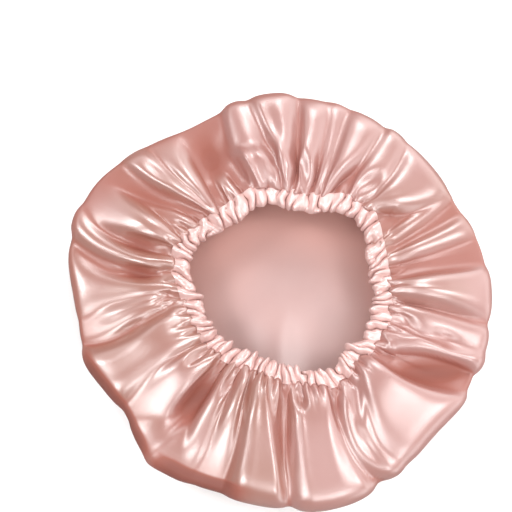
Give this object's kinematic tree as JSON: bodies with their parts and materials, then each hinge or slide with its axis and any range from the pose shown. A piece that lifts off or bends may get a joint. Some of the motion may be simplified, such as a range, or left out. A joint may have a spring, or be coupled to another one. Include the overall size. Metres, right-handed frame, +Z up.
{
  "type": "sleep bonnet",
  "caption": "Puffed round satin sleep bonnet lying on its crown with its mouth up: deep radial folds drawn into a narrow ruched elastic casing.",
  "frame": {"origin": "middle of the plan, on the flat underside of the crown", "axes": "+Z up through the mouth as it lies; +X to the right and +Y away from the viewer in the usual view from the front"},
  "size_m": [0.3694, 0.3682, 0.0746],
  "materials": {
    "crown_satin": "champagne rose satin with a strong soft sheen, duller and paler on its wrong side",
    "casing_satin": "the same satin, ruched tightly over the elastic",
    "elastic_tape": "matt white woven elastic, hidden in the casing"
  },
  "bodies": {
    "root": {"crown": "crown_satin", "elastic_casing": "casing_satin", "elastic": "elastic_tape"}
  },
  "joints": []
}
